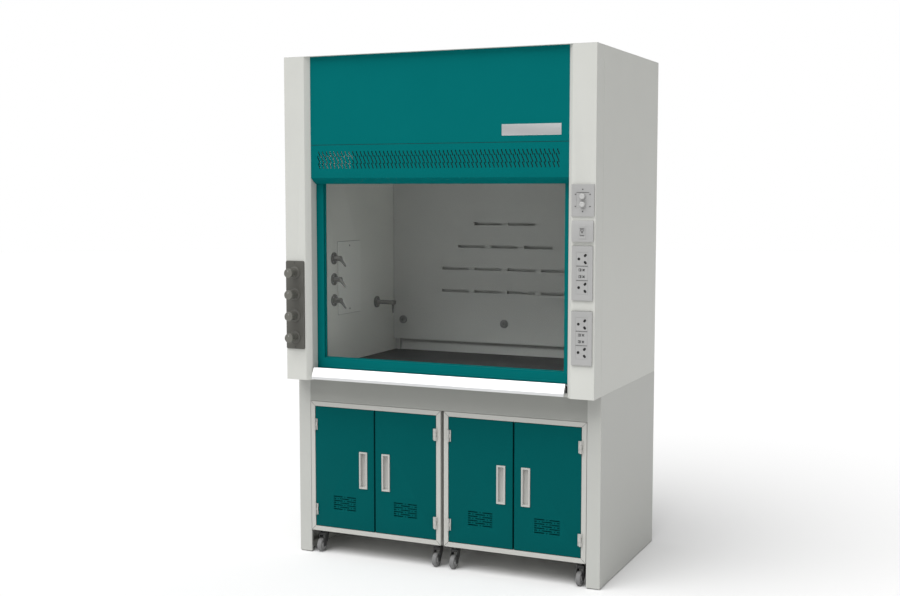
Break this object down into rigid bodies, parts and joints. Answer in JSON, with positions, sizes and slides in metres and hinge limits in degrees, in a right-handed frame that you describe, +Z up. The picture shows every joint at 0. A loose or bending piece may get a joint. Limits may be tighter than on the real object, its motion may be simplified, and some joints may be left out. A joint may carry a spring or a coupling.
{
  "type": "fume hood",
  "caption": "Bench-mounted laboratory fume hood with a counterbalanced vertical sash, service valves, sockets and roll-out base cabinets.",
  "frame": {"origin": "centre of the footprint's bounding box, on the floor", "axes": "+X to the right seen from the front, +Y from the front towards the back, +Z up"},
  "size_m": [1.5, 1.023, 2.385],
  "materials": {
    "white_paint": "smooth powder coat, off-white",
    "teal_paint": "smooth powder coat, deep teal",
    "badge": "satin blank plate",
    "steel": "zinc-plated or stainless steel",
    "board": "compact laminate lining board, grey",
    "worktop_black": "solid phenolic worktop, black",
    "stainless": "bright brushed stainless steel",
    "clear_glass": "clear toughened glass",
    "dark_plate": "matt dark grey powder coat",
    "valve_metal": "plated brass valve bodies and pipes",
    "grey_plastic": "satin light grey plastic",
    "foot": "black rubber pad on a steel stud",
    "teal_frame": "powder-coated aluminium section, deep teal",
    "cast_weight": "painted cast iron",
    "dark_plastic": "matt dark grey plastic",
    "castor_steel": "dark coated steel",
    "wheel_rubber": "grey non-marking rubber"
  },
  "bodies": {
    "enclosure": {"side_panels": "white_paint", "left_post": "white_paint", "right_post": "white_paint", "upper_fascia": "teal_paint", "lower_fascia": "teal_paint", "badge_plate": "badge", "roof_panel": "white_paint", "exhaust_collar": "steel", "back_panel": "white_paint", "side_liners": "board", "back_liner": "board", "ceiling_liner": "board", "baffle_panels": "board", "worktop": "worktop_black", "airfoil_sill": "stainless", "sash_tracks": "steel", "lamp_housing": "white_paint", "lamp_window": "clear_glass", "valve_plate": "dark_plate", "service_valves": "valve_metal", "service_outlets": "grey_plastic", "switch_plates": "grey_plastic", "socket_plates": "grey_plastic", "access_panels": "white_paint", "fasteners": "steel", "left_leg": "white_paint", "right_leg": "white_paint", "front_apron": "white_paint", "bench_frame": "white_paint", "levelling_feet": "foot", "shaft_bearings": "steel", "sash_cables": "steel", "weight_cables": "steel"},
    "sash": {"sash_frame": "teal_frame", "sash_glass": "clear_glass"},
    "weights": {"counterweights": "cast_weight"},
    "drums": {"drum_shaft": "steel"},
    "knob_1": {"valve_knob_1": "dark_plastic"},
    "knob_2": {"valve_knob_2": "dark_plastic"},
    "knob_3": {"valve_knob_3": "dark_plastic"},
    "knob_4": {"valve_knob_4": "dark_plastic"},
    "start": {"start_button": "grey_plastic"},
    "stop": {"stop_button": "grey_plastic"},
    "rocker": {"light_rocker": "grey_plastic"},
    "cabinet_left": {"left_cabinet": "white_paint"},
    "cabinet_right": {"right_cabinet": "white_paint"},
    "leaf_1": {"door_1": "teal_paint"},
    "leaf_2": {"door_2": "teal_paint"},
    "leaf_3": {"door_3": "teal_paint"},
    "leaf_4": {"door_4": "teal_paint"},
    "fork_1": {"castor_fork_1": "castor_steel"},
    "fork_2": {"castor_fork_2": "castor_steel"},
    "fork_3": {"castor_fork_3": "castor_steel"},
    "fork_4": {"castor_fork_4": "castor_steel"},
    "wheel_1": {"castor_wheel_1": "wheel_rubber"},
    "wheel_2": {"castor_wheel_2": "wheel_rubber"},
    "wheel_3": {"castor_wheel_3": "wheel_rubber"},
    "wheel_4": {"castor_wheel_4": "wheel_rubber"},
    "rear_wheels_left": {"left_rear_wheels": "wheel_rubber"},
    "rear_wheels_right": {"right_rear_wheels": "wheel_rubber"}
  },
  "joints": [
    {"name": "sash_slide", "type": "slide", "parent": "enclosure", "child": "sash", "axis": [0, 0, 1], "range_m": [0, 0.5], "deforming": ["sash_cables"]},
    {"name": "weight_slide", "type": "slide", "parent": "enclosure", "child": "weights", "axis": [0, 0, 1], "range_m": [-0.505, 0], "deforming": ["weight_cables"]},
    {"name": "drum_turn", "type": "hinge", "parent": "enclosure", "child": "drums", "pos_m": [0, -0.291, 2.275], "axis": [1, 0, 0], "range_deg": [-580, 0]},
    {"name": "valve_1_turn", "type": "hinge", "parent": "enclosure", "child": "knob_1", "pos_m": [-0.7, -0.4835, 1.048], "axis": [0, 1, 0], "range_deg": [0, 300]},
    {"name": "valve_2_turn", "type": "hinge", "parent": "enclosure", "child": "knob_2", "pos_m": [-0.7, -0.4835, 1.148], "axis": [0, 1, 0], "range_deg": [0, 300]},
    {"name": "valve_3_turn", "type": "hinge", "parent": "enclosure", "child": "knob_3", "pos_m": [-0.7, -0.4835, 1.248], "axis": [0, 1, 0], "range_deg": [0, 300]},
    {"name": "valve_4_turn", "type": "hinge", "parent": "enclosure", "child": "knob_4", "pos_m": [-0.7, -0.4835, 1.348], "axis": [0, 1, 0], "range_deg": [0, 300]},
    {"name": "start_press", "type": "slide", "parent": "enclosure", "child": "start", "axis": [0, 1, 0], "range_m": [0, 0.003], "stiffness_N_per_m": 900},
    {"name": "stop_press", "type": "slide", "parent": "enclosure", "child": "stop", "axis": [0, 1, 0], "range_m": [0, 0.003], "stiffness_N_per_m": 900},
    {"name": "rocker_tilt", "type": "hinge", "parent": "enclosure", "child": "rocker", "pos_m": [0.695, -0.4505, 1.555], "axis": [1, 0, 0], "range_deg": [-16, 0]},
    {"name": "left_cabinet_roll", "type": "slide", "parent": "enclosure", "child": "cabinet_left", "axis": [0, -1, 0], "range_m": [0, 0.7]},
    {"name": "right_cabinet_roll", "type": "slide", "parent": "enclosure", "child": "cabinet_right", "axis": [0, -1, 0], "range_m": [0, 0.7]},
    {"name": "door_1_swing", "type": "hinge", "parent": "cabinet_left", "child": "leaf_1", "pos_m": [-0.662, -0.345, 0.42065], "axis": [0, 0, -1], "range_deg": [0, 95]},
    {"name": "door_2_swing", "type": "hinge", "parent": "cabinet_left", "child": "leaf_2", "pos_m": [-0.032, -0.345, 0.42065], "axis": [0, 0, 1], "range_deg": [0, 95]},
    {"name": "door_3_swing", "type": "hinge", "parent": "cabinet_right", "child": "leaf_3", "pos_m": [0.032, -0.345, 0.42065], "axis": [0, 0, -1], "range_deg": [0, 95]},
    {"name": "door_4_swing", "type": "hinge", "parent": "cabinet_right", "child": "leaf_4", "pos_m": [0.662, -0.345, 0.42065], "axis": [0, 0, 1], "range_deg": [0, 95]},
    {"name": "castor_1_swivel", "type": "hinge", "parent": "cabinet_left", "child": "fork_1", "pos_m": [-0.65, -0.2865, 0.09], "axis": [0, 0, 1], "continuous": true},
    {"name": "castor_1_roll", "type": "hinge", "parent": "fork_1", "child": "wheel_1", "pos_m": [-0.65, -0.3065, 0.032], "axis": [1, 0, 0], "continuous": true},
    {"name": "castor_2_swivel", "type": "hinge", "parent": "cabinet_left", "child": "fork_2", "pos_m": [-0.044, -0.2865, 0.09], "axis": [0, 0, 1], "continuous": true},
    {"name": "castor_2_roll", "type": "hinge", "parent": "fork_2", "child": "wheel_2", "pos_m": [-0.044, -0.3065, 0.032], "axis": [1, 0, 0], "continuous": true},
    {"name": "castor_3_swivel", "type": "hinge", "parent": "cabinet_right", "child": "fork_3", "pos_m": [0.044, -0.2865, 0.09], "axis": [0, 0, 1], "continuous": true},
    {"name": "castor_3_roll", "type": "hinge", "parent": "fork_3", "child": "wheel_3", "pos_m": [0.044, -0.3065, 0.032], "axis": [1, 0, 0], "continuous": true},
    {"name": "castor_4_swivel", "type": "hinge", "parent": "cabinet_right", "child": "fork_4", "pos_m": [0.65, -0.2865, 0.09], "axis": [0, 0, 1], "continuous": true},
    {"name": "castor_4_roll", "type": "hinge", "parent": "fork_4", "child": "wheel_4", "pos_m": [0.65, -0.3065, 0.032], "axis": [1, 0, 0], "continuous": true},
    {"name": "left_rear_roll", "type": "hinge", "parent": "cabinet_left", "child": "rear_wheels_left", "pos_m": [-0.347, 0.2015, 0.032], "axis": [1, 0, 0], "continuous": true},
    {"name": "right_rear_roll", "type": "hinge", "parent": "cabinet_right", "child": "rear_wheels_right", "pos_m": [0.347, 0.2015, 0.032], "axis": [1, 0, 0], "continuous": true}
  ],
  "couplings": [
    {"joint": "weight_slide", "follows": "sash_slide", "ratio": -1},
    {"joint": "drum_turn", "follows": "sash_slide", "rad_per_m": -20}
  ]
}
